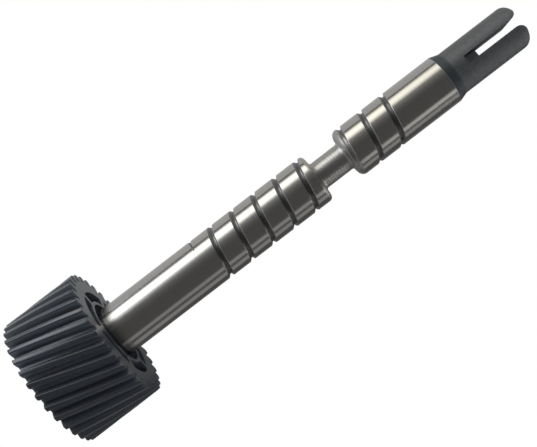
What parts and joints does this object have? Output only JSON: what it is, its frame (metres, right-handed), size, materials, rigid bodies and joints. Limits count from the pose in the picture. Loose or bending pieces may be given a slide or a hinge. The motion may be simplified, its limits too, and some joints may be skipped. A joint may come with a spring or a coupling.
{
  "type": "speedometer gear shaft",
  "caption": "Steel speedometer shaft with a helical oil groove, a waist and a slotted drive fork, and a black moulded helical gear on its other end.",
  "frame": {"origin": "centre of the gear's rear face, which the part stands on", "axes": "+Z along the shaft from the gear to the fork, and -Y to the side that the picture shows"},
  "size_m": [0.0214, 0.0214, 0.088],
  "materials": {
    "ground_steel": "ground bright on the journals, left dark on the fork",
    "black_plastic": "satin moulded"
  },
  "bodies": {
    "root": {"shaft": "ground_steel", "helical_gear": "black_plastic"}
  },
  "joints": []
}
